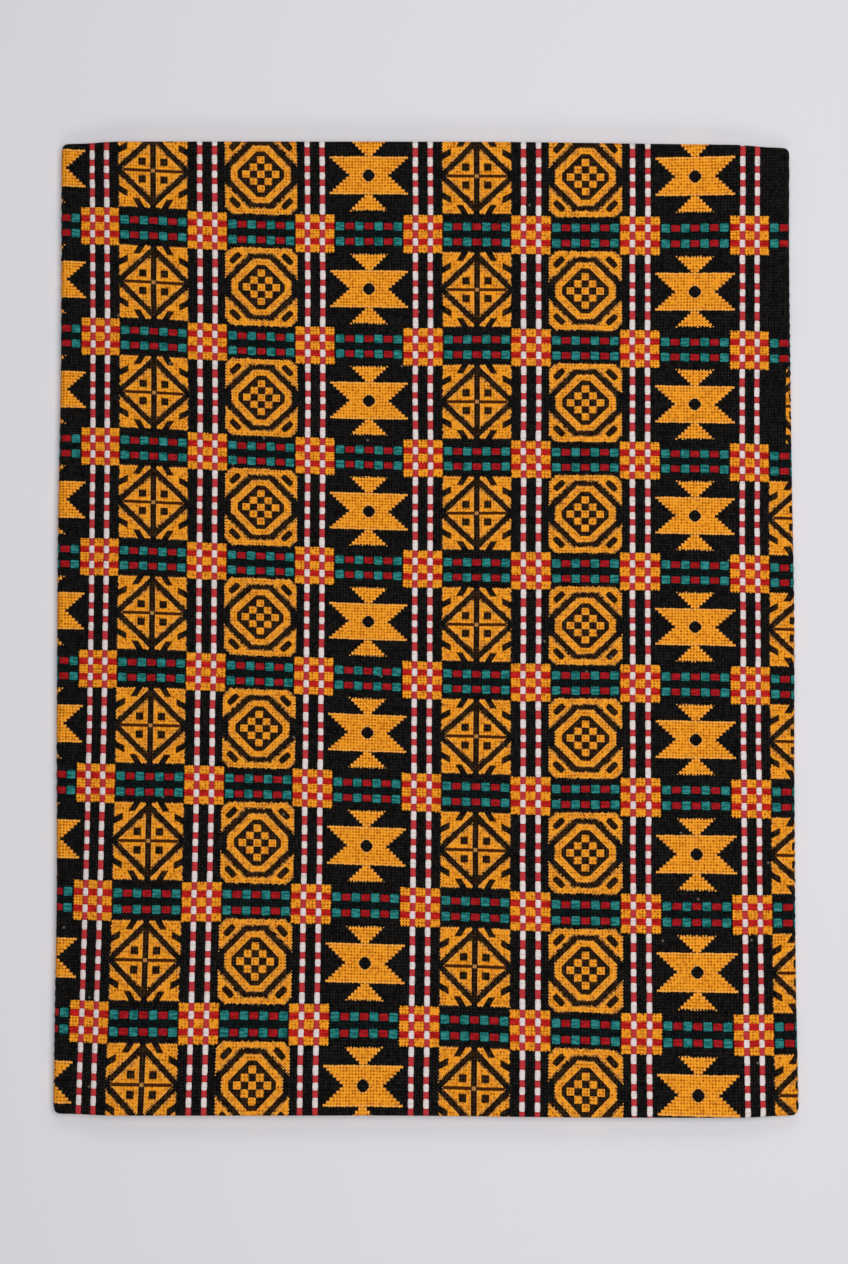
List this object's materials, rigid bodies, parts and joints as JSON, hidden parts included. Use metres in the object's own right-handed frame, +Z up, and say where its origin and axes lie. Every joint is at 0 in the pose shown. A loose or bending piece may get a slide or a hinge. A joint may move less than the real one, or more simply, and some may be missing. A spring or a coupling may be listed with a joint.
{
  "type": "folded basotho blanket",
  "caption": "Thick patterned wool blanket, folded flat into an oblong with folds on all its sides, lying show side up.",
  "frame": {"origin": "centre of the footprint, on the surface that the folded blanket lies on", "axes": "+X across the folded blanket towards the right in the picture, +Y along its long way towards the top of the picture, +Z up out of the show side"},
  "size_m": [0.5918, 0.779, 0.0168],
  "materials": {
    "woven_wool": "thick fulled wool woven in black with gold star, diamond and octagon motifs, white and red striped bars, teal and red barred rows, and gold, red and white chequered crossings"
  },
  "bodies": {
    "root": {"blanket": "woven_wool"}
  },
  "joints": []
}
